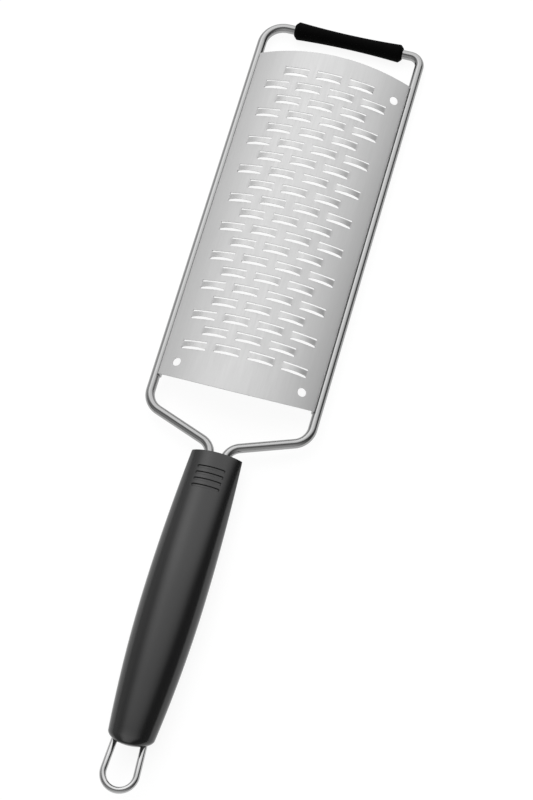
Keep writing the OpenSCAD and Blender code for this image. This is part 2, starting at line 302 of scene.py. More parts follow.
class EffectGroup:
    """Shader node groups for effects that several finishes share, each built once.

    A noise is given by its detail and its roughness.
    """

    made: dict[str, bpy.types.NodeTree] = {}
    noise_span: Pair = (0.3, 0.7)
    noise_middle: float = 0.5
    grain_noise: Pair = (3.0, 0.6)
    line_noise: Pair = (4.0, 0.65)
    haze_noise: Pair = (2.0, 0.5)

    @classmethod
    def start(
        cls, name: str, vectors: list[str], floats: list[str], outputs: list[str]
    ) -> tuple[NodeCanvas, Sockets, Sockets]:
        """Starts a group with its sockets.

        Args:
            name: the group's name.
            vectors: names of the vector inputs.
            floats: names of the float inputs.
            outputs: names of the float outputs.

        Returns:
            The canvas, the group's input sockets and its output sockets.
        """
        tree = bpy.data.node_groups.new(name, "ShaderNodeTree")
        sockets = [(label, "INPUT", "NodeSocketVector") for label in vectors]
        sockets += [(label, "INPUT", "NodeSocketFloat") for label in floats]
        sockets += [(label, "OUTPUT", "NodeSocketFloat") for label in outputs]
        for label, way, kind in sockets:
            tree.interface.new_socket(name=label, in_out=way, socket_type=kind)
        canvas = NodeCanvas(tree)
        cls.made[name] = tree
        return canvas, canvas.add("NodeGroupInput").outputs, canvas.add("NodeGroupOutput").inputs

    @classmethod
    def put_out(cls, canvas: NodeCanvas, inner: Sockets, outer: Sockets, noise: Socket) -> None:
        """Puts a noise out as a value from Low to High and as a height.

        Args:
            canvas: the group's canvas.
            inner: the group's input sockets.
            outer: the group's output sockets.
            noise: the noise's value.
        """
        limits = {"Value": noise, "To Min": inner["Low"], "To Max": inner["High"]}
        limits["From Min"], limits["From Max"] = cls.noise_span
        value = canvas.add("ShaderNodeMapRange", limits).outputs[0]
        canvas.tree.links.new(value, outer["Value"])
        canvas.tree.links.new(noise, outer["Height"])

    @classmethod
    def fine_grain(cls) -> bpy.types.NodeTree:
        """Fine speckle of a blasted or moulded skin.

        Returns:
            The group: Vector, Scale, Low and High in; Value and Height out.
        """
        name, floats = "fine_grain", ["Scale", "Low", "High"]
        if name not in cls.made:
            canvas, inner, outer = cls.start(name, ["Vector"], floats, ["Value", "Height"])
            noise = canvas.noise(inner["Vector"], inner["Scale"], *cls.grain_noise)
            cls.put_out(canvas, inner, outer, noise)
        return cls.made[name]

    @classmethod
    def drawn_lines(cls) -> bpy.types.NodeTree:
        """Long fine lines that drawing or brushing leaves on steel.

        Returns:
            The group: Vector, Stretch, Low and High in; Value and Height out.
        """
        name, vectors = "drawn_lines", ["Vector", "Stretch"]
        if name not in cls.made:
            canvas, inner, outer = cls.start(name, vectors, ["Low", "High"], ["Value", "Height"])
            inputs = {0: inner["Vector"], 1: inner["Stretch"]}
            stretched = canvas.add("ShaderNodeVectorMath", inputs, operation="MULTIPLY").outputs[0]
            noise = canvas.noise(stretched, 1.0, *cls.line_noise)
            cls.put_out(canvas, inner, outer, noise)
        return cls.made[name]

    @classmethod
    def soft_haze(cls) -> bpy.types.NodeTree:
        """Broad soft change of tone that handling leaves.

        Returns:
            The group: Vector, Scale and Amount in; Factor out, around 1.
        """
        name, floats = "soft_haze", ["Scale", "Amount"]
        if name not in cls.made:
            canvas, inner, outer = cls.start(name, ["Vector"], floats, ["Factor"])
            noise = canvas.noise(inner["Vector"], inner["Scale"], *cls.haze_noise)
            centred = canvas.math("SUBTRACT", noise, cls.noise_middle)
            scaled = canvas.math("MULTIPLY", centred, inner["Amount"])
            canvas.tree.links.new(canvas.math("ADD", scaled, 1.0), outer["Factor"])
        return cls.made[name]


class FinishBoard:
    """One material under way: its Principled shader, its texture coordinates and its groups.

    A finish gives its haze as scale and amount, and its bump as strength and depth in mm.
    """

    def __init__(self, name: str) -> None:
        """Starts a material.

        Args:
            name: the material's name.
        """
        self.material = bpy.data.materials.new(name)
        self.material.use_nodes = True
        self.canvas = NodeCanvas(self.material.node_tree)
        self.shader = self.material.node_tree.nodes["Principled BSDF"]
        coords = self.canvas.add("ShaderNodeTexCoord")
        self.place = coords.outputs["Object"]
        self.run = coords.outputs["UV"]

    def effect(self, tree: bpy.types.NodeTree, **inputs: object) -> bpy.types.Node:
        """Places a group in the material, with values or sockets by input name."""
        return self.canvas.add("ShaderNodeGroup", inputs, node_tree=tree)

    def hazed(self, colour: Colour, scale: float, amount: float) -> Socket:
        """Changes a colour a little over the surface.

        Args:
            colour: the colour without haze.
            scale: the haze's scale.
            amount: the haze's amount.

        Returns:
            The colour's socket.
        """
        group = EffectGroup.soft_haze()
        haze = self.effect(group, Vector=self.place, Scale=scale, Amount=amount)
        inputs = {0: colour, "Scale": haze.outputs[0]}
        return self.canvas.add("ShaderNodeVectorMath", inputs, operation="SCALE").outputs[0]

    def feed(self, label: str, socket: Socket) -> None:
        """Links a socket to an input of the shader."""
        self.canvas.tree.links.new(socket, self.shader.inputs[label])

    def bump(self, height: Socket, strength: float, depth_mm: float) -> None:
        """Feeds a bump of a height, with its strength and full depth, to the shader's normal."""
        inputs = {"Strength": strength, "Distance": depth_mm * MM, "Height": height}
        self.feed("Normal", self.canvas.add("ShaderNodeBump", inputs).outputs[0])

    def plain(self, label: str, value: float) -> None:
        """Sets a value that is the same all over on the shader's own socket."""
        self.shader.inputs[label].default_value = value


@dataclass(frozen=True)
class SatinSheet:
    """Finish of the plate: etched satin steel, with a painted highlight along the strips' cutting
    edges.
    """

    colour: Colour = (0.62, 0.62, 0.62)
    painted_highlight_colour: Colour = (0.70, 0.70, 0.70)
    painted_highlight_power: float = 6.0
    roughness: Pair = (0.50, 0.58)
    line_stretch: Point = (1800.0, 60.0, 1800.0)
    grain_scale: float = 2600.0
    haze: Pair = (28.0, 0.05)
    bump: Pair = (0.12, 0.01)

    def material(self) -> bpy.types.Material:
        """Builds the material.

        Returns:
            The material, whose marked points are bright.
        """
        board = FinishBoard("satin_sheet")
        canvas = board.canvas
        lines = board.effect(
            EffectGroup.drawn_lines(),
            Vector=board.place,
            Stretch=self.line_stretch,
            Low=self.roughness[0],
            High=self.roughness[1],
        ).outputs
        grain = board.effect(EffectGroup.fine_grain(), Vector=board.place, Scale=self.grain_scale)
        # Painted highlight: marked points on the strips' edges are lightened towards the highlight
        # colour
        mark = canvas.add("ShaderNodeAttribute", attribute_name=EDGE_HIGHLIGHT_MARK).outputs["Fac"]
        # In a colour mix, input 0 is the factor, 6 and 7 are the colours and output 2 is the result
        inputs = {
            0: canvas.math("POWER", mark, self.painted_highlight_power),
            6: board.hazed(self.colour, *self.haze),
            7: (*self.painted_highlight_colour, 1.0),
        }
        board.feed("Base Color", canvas.add("ShaderNodeMix", inputs, data_type="RGBA").outputs[2])
        board.feed("Roughness", lines["Value"])
        board.bump(canvas.math("ADD", lines["Height"], grain.outputs["Height"]), *self.bump)
        board.plain("Metallic", 1.0)
        return board.material


@dataclass(frozen=True)
class DrawnWire:
    """Finish of the round wires: polished steel with faint drawing lines along the wire."""

    name: str
    colour: Colour
    roughness: Pair = (0.14, 0.20)
    line_stretch: Point = (30.0, 90.0, 1.0)
    haze: Pair = (40.0, 0.08)
    bump: Pair = (0.08, 0.01)

    def material(self) -> bpy.types.Material:
        """Builds the material.

        Returns:
            The material, whose lines follow the wire's texture coordinates.
        """
        board = FinishBoard(self.name)
        lines = board.effect(
            EffectGroup.drawn_lines(),
            Vector=board.run,
            Stretch=self.line_stretch,
            Low=self.roughness[0],
            High=self.roughness[1],
        ).outputs
        board.feed("Base Color", board.hazed(self.colour, *self.haze))
        board.feed("Roughness", lines["Value"])
        board.bump(lines["Height"], *self.bump)
        board.plain("Metallic", 1.0)
        return board.material


@dataclass(frozen=True)
class MouldedSkin:
    """Finish of a moulded black piece: fine spark-eroded grain and a little haze."""

    name: str
    colour: Colour
    roughness: Pair
    specular: float
    grain_scale: float
    grain_bump: Pair
    haze: Pair = (45.0, 0.12)

    def material(self) -> bpy.types.Material:
        """Builds the material.

        Returns:
            The material.
        """
        board = FinishBoard(self.name)
        grain = board.effect(
            EffectGroup.fine_grain(),
            Vector=board.place,
            Scale=self.grain_scale,
            Low=self.roughness[0],
            High=self.roughness[1],
        ).outputs
        board.feed("Base Color", board.hazed(self.colour, *self.haze))
        board.feed("Roughness", grain["Value"])
        board.bump(grain["Height"], *self.grain_bump)
        board.plain("Specular IOR Level", self.specular)
        return board.material


@dataclass
class BentRod:
    """A round rod swept through stations in the wire plane: x, y and heading in degrees."""

    radius: float
    stations: list[Point]
    sides: int = 40
    end_round: float = 0.25
    run_unit: float = 100.0

    def build(self, name: str) -> bpy.types.Object:
        """Sweeps the rod.

        Args:
            name: the piece's name.

        Returns:
            The rod's object.
        """
        first, *middle, last = self.stations
        end_r = self.radius - self.end_round
        rings = [
            self.ring(first, end_r),
            self.ring(self.shifted(first, self.end_round), self.radius),
            *(self.ring(station, self.radius) for station in middle),
            self.ring(self.shifted(last, -self.end_round), self.radius),
            self.ring(last, end_r),
        ]
        draft = MeshDraft()
        indices = [draft.ring(ring) for ring in rings]
        run = 0.0
        for near, far, a, b in zip(indices, indices[1:], rings, rings[1:]):
            step = math.dist(a[0], b[0]) / self.run_unit
            draft.band(near, far, (run, run + step))
            run += step
        draft.close(indices)
        return draft.to_object(name)

    @staticmethod
    def shifted(station: Point, run: float) -> Point:
        """A station moved along its heading by run mm."""
        turn = math.radians(station[2])
        return (station[0] + run * math.cos(turn), station[1] + run * math.sin(turn), station[2])

    def ring(self, station: Point, radius: float) -> list[Point]:
        """Ring of points round one station.

        Args:
            station: x, y and heading.
            radius: the ring's radius.

        Returns:
            The points, counter-clockwise seen from ahead.
        """
        x, y, heading = station
        turn = math.radians(heading)
        ring = []
        for t in full_turn(self.sides):
            out = radius * math.cos(t)
            ring.append((x - out * math.sin(turn), y + out * math.cos(turn), radius * math.sin(t)))
        return ring


def arc_stations(
    centre: Pair, radius: float, start_deg: float, sweep_deg: float, step_deg: float = 4.0
) -> list[Point]:
    """Stations on a bend.

    Args:
        centre: the bend's centre.
        radius: radius of the rod's axis.
        start_deg: heading where the bend starts.
        sweep_deg: turn of the bend, positive to the left.
        step_deg: largest turn between stations.

    Returns:
        The stations, both ends included.
    """
    side = math.copysign(radius, sweep_deg)
    stations = []
    for heading in spread(start_deg, start_deg + sweep_deg, math.ceil(abs(sweep_deg) / step_deg)):
        h = math.radians(heading)
        stations.append((centre[0] + side * math.sin(h), centre[1] - side * math.cos(h), heading))
    return stations


@dataclass
class FrameWire:
    """The bent rod of the frame: top bar, rails, shoulders, arms and tangs."""

    wire_d: float = 3.8
    frame_w: float = 70.0
    top_bar_y: float = 190.4
    shoulder_y: float = 14.4
    arm_slope: float = 20.0
    tang_gap: float = 6.2
    tang_len: float = 70.0
    top_bends: Pair = (9.0, 4.5)
    shoulder_bend_r: float = 8.0
    neck_bend_r: float = 7.0
    finish: DrawnWire = DrawnWire("drawn_frame_wire", (0.34, 0.34, 0.34))

    def route(self) -> tuple[list[Pair], list[float]]:
        """Corners of the rod's axis, and the bend radius at each inner corner.

        Returns:
            The corners from the left tang's end to the right one's, and the radii.
        """
        tang_x, rail_x = self.tang_gap / 2, (self.frame_w - self.wire_d) / 2
        neck_y = self.shoulder_y - (rail_x - tang_x) * math.tan(math.radians(self.arm_slope))
        half = [
            (tang_x, -self.tang_len),
            (tang_x, neck_y),
            (rail_x, self.shoulder_y),
            (rail_x, self.top_bar_y),
        ]
        corners = [(-x, y) for x, y in half] + list(reversed(half))
        foot = [self.neck_bend_r, self.shoulder_bend_r]
        return corners, [*foot, *self.top_bends, *reversed(foot)]

    def stations(self) -> list[Point]:
        """Stations of the whole rod.

        Returns:
            The two ends, and every bend's stations between them.
        """
        corners, radii = self.route()
        legs = [(q[0] - p[0], q[1] - p[1]) for p, q in zip(corners, corners[1:])]
        headings = [math.degrees(math.atan2(dy, dx)) for dx, dy in legs]
        stations = [(*corners[0], headings[0])]
        for i, radius in enumerate(radii, start=1):
            sweep = (headings[i] - headings[i - 1] + 180) % 360 - 180
            turn = math.radians(headings[i - 1])
            cut = radius * math.tan(math.radians(abs(sweep)) / 2)
            start = (corners[i][0] - cut * math.cos(turn), corners[i][1] - cut * math.sin(turn))
            side = math.copysign(radius, sweep)
            centre = (start[0] - side * math.sin(turn), start[1] + side * math.cos(turn))
            stations += arc_stations(centre, radius, headings[i - 1], sweep)
        return stations + [(*corners[-1], headings[-1])]

    def build(self) -> None:
        """Builds and dresses the rod."""
        rod = BentRod(self.wire_d / 2, self.stations()).build("rod_frame")
        dress(rod, self.finish.material(), Node.WIRE, Slot.WIRE)


@dataclass
class GraterPlate:
    """The crowned sheet with its windows, raised strips, holes and rolled hems."""

    sheet_t: float = 0.5
    crown_r: float = 68.0
    edge_rise: float = 2.05
    edge_bend_r: float = 0.5
    hem_wrap: float = 110.0
    hem_fit: float = 0.05
    rail_x: float = 33.1
    wire_r: float = 1.9
    heel_y: float = 26.5
    head_y: float = 175.1
    heel_bow: float = 2.9
    head_bow: float = 2.0
    heel_zone: float = 3.2
    head_zone: float = 6.4
    hole_d: float = 3.6
    heel_hole: Pair = (6.3, 5.5)
    head_hole: Pair = (4.3, 9.1)
    rows: int = 20
    row_pitch: float = 6.675
    head_margin: float = 8.3
    strip_pitch: float = 13.9
    odd_row: tuple[float, ...] = (-1.0, 0.0, 1.0)
    even_row: tuple[float, ...] = (-1.5, -0.5, 0.5, 1.5)
    strip_len: float = 10.4
    window_w: float = 3.9
    root_w: float = 2.4
    waist_w: float = 2.0
    rise: float = 0.85
    strip_t: float = 0.38
    strip_steps: int = 14
    cell: float = 1.3
    same_line: float = 1e-4
    cell_slack: float = 1e-6
    hole_patch: float = 2.2
    patch_cells: int = 8
    bend_cells: int = 10
    hem_cells: int = 14
    sharp_deg: float = 40.0
    bevel: float = 0.05
    bevel_deg: float = 50.0
    finish: SatinSheet = SatinSheet()

    def __post_init__(self) -> None:
        """Works out the section: crown, edge bend and hem, by length from the crest."""
        self.hem_r = self.wire_r + self.hem_fit + self.sheet_t / 2
        self.tuck = math.asin(self.edge_rise / (self.hem_r + self.edge_bend_r))
        self.bend_x = self.rail_x - (self.hem_r + self.edge_bend_r) * math.cos(self.tuck)
        self.edge_x = self.bend_x + self.edge_bend_r
        reach = self.crown_r - self.edge_bend_r
        self.axis_z = self.edge_rise - math.sqrt(reach**2 - self.bend_x**2)
        self.half_angle = math.asin(self.bend_x / reach)
        self.crown_end = self.crown_r * self.half_angle
        bend = math.pi / 2 - self.half_angle + self.tuck
        self.bend_end = self.crown_end + self.edge_bend_r * bend
        self.hem_end = self.bend_end + self.hem_r * (math.radians(self.hem_wrap) + self.tuck)

    def section(self, u: float) -> tuple[Pair, Pair]:
        """Place and outward normal on the sheet's middle surface.

        Args:
            u: length along the section from the crest, positive to the right.

        Returns:
            x and z, and the normal's x and z.
        """
        side, run = math.copysign(1, u), abs(u)
        if run <= self.crown_end:
            t = run / self.crown_r
            place = (self.crown_r * math.sin(t), self.axis_z + self.crown_r * math.cos(t))
            normal = (math.sin(t), math.cos(t))
        elif run <= self.bend_end:
            r = self.edge_bend_r
            t = math.pi / 2 - self.half_angle - (run - self.crown_end) / r
            place = (self.bend_x + r * math.cos(t), self.edge_rise + r * math.sin(t))
            normal = (math.cos(t), math.sin(t))
        else:
            t = math.pi - self.tuck + (run - self.bend_end) / self.hem_r
            place = (self.rail_x + self.hem_r * math.cos(t), self.hem_r * math.sin(t))
            normal = (-math.cos(t), -math.sin(t))
        return (side * place[0], place[1]), (side * normal[0], normal[1])

    def bowed(self, x: float, y: float) -> float:
        """Moves a line near an end out with the end's bow.

        Args:
            x: place across the plate.
            y: the line's place at the plate's corners.

        Returns:
            The bowed place.
        """
        heel = 1 - min((y - self.heel_y) / self.heel_zone, 1)
        head = 1 - min((self.head_y - y) / self.head_zone, 1)
        for share, bow in ((head, self.head_bow), (-heel, self.heel_bow)):
            radius = (self.edge_x**2 + bow**2) / (2 * bow)
            y += share * (math.sqrt(radius**2 - x * x) - (radius - bow))
        return y

    def windows(self) -> list[Pair]:
        """Centres of the windows.

        Returns:
            Place along the section and along the plate, for each strip.
        """
        found = []
        for row in range(self.rows):
            y = self.head_y - self.head_margin - row * self.row_pitch
            places = self.even_row if row % 2 else self.odd_row
            found += [(place * self.strip_pitch, y) for place in places]
        return found

    def holes(self) -> list[Pair]:
        """Centres of the three round holes.

        Returns:
            Place along the section and along the plate, for each hole.
        """
        low, high = self.heel_y + self.heel_hole[1], self.head_y - self.head_hole[1]
        reach = [self.edge_x - hole[0] for hole in (self.heel_hole, self.head_hole)]
        inner, outer = (self.crown_r * math.asin(x / self.crown_r) for x in reach)
        return [(inner, low), (-inner, low), (outer, high)]

    def lines(self, fixed: list[float]) -> list[float]:
        """Grid lines through fixed places, with more between them.

        Args:
            fixed: places that need a line.

        Returns:
            The sorted lines.
        """
        kept: list[float] = []
        for place in sorted(fixed):
            if not kept or place - kept[-1] > self.same_line:
                kept.append(place)
        found = [kept[0]]
        for a, b in zip(kept, kept[1:]):
            count = max(1, math.ceil((b - a) / self.cell - self.cell_slack))
            found += spread(a, b, count)[1:]
        return found

    def grid_lines(self) -> tuple[list[float], list[float]]:
        """Grid lines of the sheet.

        Returns:
            Lines along the section, and lines along the plate.
        """
        half, sides = self.strip_len / 2, (-1, 1)
        places = self.odd_row + self.even_row
        across = [place * self.strip_pitch + side * half for place in places for side in sides]
        patch = spread(-self.hole_patch, self.hole_patch, self.patch_cells)
        across += [hole[0] + p for hole in self.holes() for p in patch]
        across += [side * self.crown_end for side in sides]
        rim = spread(self.crown_end, self.bend_end, self.bend_cells)[1:]
        rim += spread(self.bend_end, self.hem_end, self.hem_cells)[1:]
        across = [-u for u in reversed(rim)] + self.lines(across) + rim
        roots = (-self.window_w / 2, -self.root_w / 2, 0.0, self.root_w / 2, self.window_w / 2)
        along = [y + r for y in {window[1] for window in self.windows()} for r in roots]
        along += [hole[1] + p for hole in self.holes() for p in patch]
        along += [self.heel_y, self.heel_y + self.heel_zone]
        along += [self.head_y - self.head_zone, self.head_y]
        return across, self.lines(along)

    def on_sheet(self, u: float, y: float, lift: float = 0.0) -> Point:
        """Place at u along the section and y along the plate, lifted along the normal."""
        place, normal = self.section(u)
        return (place[0] + lift * normal[0], y, place[1] + lift * normal[1])

    def skin(self) -> tuple[MeshDraft, dict[int, float]]:
        """Middle surface with its openings and strips.

        Returns:
            The draft, and the thickness at the points of the strips.
        """
        draft, thin = MeshDraft(), {}
        across, along = self.grid_lines()
        index: dict[tuple[int, int], int] = {}

        def corner(i: int, j: int) -> int:
            """Grid point at two lines, made when first asked for.

            Args:
                i: number of the line along the section.
                j: number of the line along the plate.

            Returns:
                The point's index.
            """
            if (i, j) not in index:
                x = self.section(across[i])[0][0]
                index[i, j] = draft.point(self.on_sheet(across[i], self.bowed(x, along[j])))
            return index[i, j]

        def near(lines: list[float], place: float) -> int:
            """Number of the line at a place."""
            return min(range(len(lines)), key=lambda k: abs(lines[k] - place))

        gone: set[tuple[int, int]] = set()
        boxes = [(w, self.strip_len / 2, self.window_w / 2) for w in self.windows()]
        boxes += [(h, self.hole_patch, self.hole_patch) for h in self.holes()]
        for (u, y), half_u, half_y in boxes:
            columns = range(near(across, u - half_u), near(across, u + half_u))
            lines = range(near(along, y - half_y), near(along, y + half_y))
            gone.update((i, j) for i in columns for j in lines)
        for i in range(len(across) - 1):
            for j in range(len(along) - 1):
                if (i, j) not in gone:
                    cell = ((i, j), (i + 1, j), (i + 1, j + 1), (i, j + 1))
                    draft.face(tuple(corner(*c) for c in cell))
        for middle in self.windows():
            self.strip(draft, thin, middle, lambda u, y: corner(near(across, u), near(along, y)))
        for u, y in self.holes():
            i0, i1 = (near(across, u + side * self.hole_patch) for side in (-1, 1))
            j0, j1 = (near(along, y + side * self.hole_patch) for side in (-1, 1))
            loop = [(i, j0) for i in range(i0, i1)] + [(i1, j) for j in range(j0, j1)]
            loop += [(i, j1) for i in range(i1, i0, -1)] + [(i0, j) for j in range(j1, j0, -1)]
            rim = []
            for i, j in loop:
                du, dy = across[i] - u, along[j] - y
                scale = self.hole_d / 2 / math.hypot(du, dy)
                rim.append(draft.point(self.on_sheet(u + du * scale, y + dy * scale)))
            draft.band([corner(i, j) for i, j in loop], rim)
        return draft, thin

    def strip(
        self,
        draft: MeshDraft,
        thin: dict[int, float],
        middle: Pair,
        corner: Callable[[float, float], int],
    ) -> None:
        """Adds one raised strip between the two ends of its window.

        Args:
            draft: the sheet's draft.
            thin: thickness by point, added to.
            middle: the strip's middle along the section and along the plate.
            corner: gives the grid point at a place.
        """
        u, y = middle
        half = self.strip_len / 2
        sides = (-self.root_w / 2, 0.0, self.root_w / 2)
        previous = [corner(u - half, y + s) for s in sides]
        for k in range(1, self.strip_steps + 1):
            t = 2 * k / self.strip_steps - 1
            if k == self.strip_steps:
                current = [corner(u + half, y + s) for s in sides]
            else:
                share = (self.waist_w + (self.root_w - self.waist_w) * t * t) / self.root_w
                lift = self.rise * (1 - t * t)
                places = [self.on_sheet(u + t * half, y + s * share, lift) for s in sides]
                # The strip's two side edges carry the painted highlight mark
                current = [draft.point(p, 1.0 if s else 0.0) for p, s in zip(places, sides)]
                thin.update({p: self.strip_t for p in current})
            for a, b in ((0, 1), (1, 2)):
                draft.face((previous[a], current[a], current[b], previous[b]))
            previous = current

    def thicken(self, skin: MeshDraft, thin: dict[int, float]) -> MeshDraft:
        """Gives the middle surface its thickness.

        Args:
            skin: the middle surface.
            thin: thickness of the points that are not of the full sheet.

        Returns:
            The closed draft.
        """
        normals = [Vector((0, 0, 0)) for _ in skin.points]
        edges: dict[tuple[int, int], None] = {}
        for corners in skin.faces:
            a, b, c, d = (Vector(skin.points[i]) for i in corners)
            normal = (c - a).cross(d - b)
            for i, j in zip(corners, corners[1:] + corners[:1]):
                normals[i] += normal
                edges[i, j] = None
        solid = MeshDraft()
        for level in (1, -1):
            for i, p in enumerate(skin.points):
                offset = normals[i].normalized() * (level * thin.get(i, self.sheet_t) / 2)
                solid.point(tuple(Vector(p) + offset), skin.marks.get(i, 0.0))
        count = len(skin.points)
        for corners in skin.faces:
            solid.face(corners)
            solid.face(tuple(count + i for i in reversed(corners)))
        for i, j in edges:
            if (j, i) not in edges:
                solid.face((j, i, count + i, count + j))
        return solid

    def build(self) -> None:
        """Builds and dresses the plate, with its edges broken."""
        plate = self.thicken(*self.skin()).to_object("pressed_plate", self.sharp_deg)
        bevel = plate.modifiers.new("edge_break", "BEVEL")
        bevel.width, bevel.segments = self.bevel * MM, 1
        bevel.limit_method, bevel.angle_limit = "ANGLE", math.radians(self.bevel_deg)
        dress(plate, self.finish.material(), Node.PLATE, Slot.PLATE)


@dataclass
class FootSleeve:
    """The rubber tube on the top bar, with a slim waist and chamfered ends."""

    bar_y: float = 190.4
    bore_r: float = 1.95
    outer_r: float = 3.75
    waist_r: float = 3.05
    length: float = 46.2
    shift: float = 1.9
    chamfer_len: float = 1.3
    chamfer_depth: float = 1.3
    edge_r: float = 0.3
    edge_steps: int = 4
    edge_share: float = 2.1
    sides: int = 64
    waist_steps: int = 24
    sharp_deg: float = 60.0
    finish: MouldedSkin = MouldedSkin(
        "black_rubber",
        colour=(0.0015, 0.0015, 0.0015),
        roughness=(0.70, 0.85),
        specular=0.04,
        grain_scale=900.0,
        grain_bump=(0.25, 0.05),
    )

    def profile(self) -> list[Pair]:
        """Corners of the tube's half section.

        Returns:
            Length along the tube and radius, from one bore end round the outside to the other.
        """
        middle, swell = self.length / 2, self.outer_r - self.waist_r
        waist = [
            (middle + t * (middle - self.chamfer_len), self.waist_r + swell * t * t)
            for t in spread(-1, 1, self.waist_steps)
        ]
        ends = (self.bore_r, self.outer_r - self.chamfer_depth)
        return [*((0.0, r) for r in ends), *waist, *((self.length, r) for r in reversed(ends))]

    def rounded(self) -> list[Pair]:
        """The half section with its corners rounded.

        Returns:
            Length along the tube and radius, in the same order.
        """
        corners, found = self.profile(), []
        for i, corner in enumerate(corners):
            here = Vector(corner)
            before = Vector(corners[i - 1]) - here
            after = Vector(corners[(i + 1) % len(corners)]) - here
            start, end = (
                here + way.normalized() * min(self.edge_r, way.length / self.edge_share)
                for way in (before, after)
            )
            for t in spread(0, 1, self.edge_steps):
                found.append(tuple((1 - t) ** 2 * start + 2 * t * (1 - t) * here + t * t * end))
        return found

    def build(self) -> None:
        """Builds and dresses the sleeve, turned about the top bar."""
        draft = MeshDraft()
        start = self.shift - self.length / 2
        angles = full_turn(self.sides)
        rings = [
            draft.ring([(start + x, self.bar_y + r * math.cos(t), r * math.sin(t)) for t in angles])
            for x, r in self.rounded()
        ]
        for near, far in zip(rings, rings[1:] + rings[:1]):
            draft.band(near, far)
        sleeve = draft.to_object("rubber_sleeve", self.sharp_deg)
        dress(sleeve, self.finish.material(), Node.SLEEVE, Slot.SLEEVE)


@dataclass
class HangingLoop:
    """The wire eye at the tail of the handle."""

    wire_d: float = 2.6
    width: float = 15.4
    reach: float = 18.6
    lean: float = 3.2
    leg_in: float = 16.0
    grip_len: float = 119.5
    core_tail_gap: float = 6.0
    sides: int = 32
    finish: DrawnWire = DrawnWire("drawn_loop_wire", (0.46, 0.46, 0.46))

    def stations(self) -> list[Point]:
        """Stations of the loop.

        Returns:
            The right leg's end, the bow's stations and the left leg's end.
        """
        bow_r = (self.width - self.wire_d) / 2
        bow_y = -self.grip_len - self.reach + self.width / 2
        turn = math.radians(self.lean)
        entry = -(self.grip_len - self.core_tail_gap)
        leg = (entry - bow_y - bow_r * math.sin(turn)) / math.cos(turn) + self.leg_in
        x = bow_r * math.cos(turn) - leg * math.sin(turn)
        y = bow_y + bow_r * math.sin(turn) + leg * math.cos(turn)
        bow = arc_stations((0.0, bow_y), bow_r, self.lean - 90, -180 - 2 * self.lean)
        return [(x, y, self.lean - 90), *bow, (-x, y, 90 - self.lean)]

    def build(self) -> None:
        """Builds and dresses the loop."""
        loop = BentRod(self.wire_d / 2, self.stations(), self.sides).build("wire_eye")
        dress(loop, self.finish.material(), Node.LOOP, Slot.WIRE)


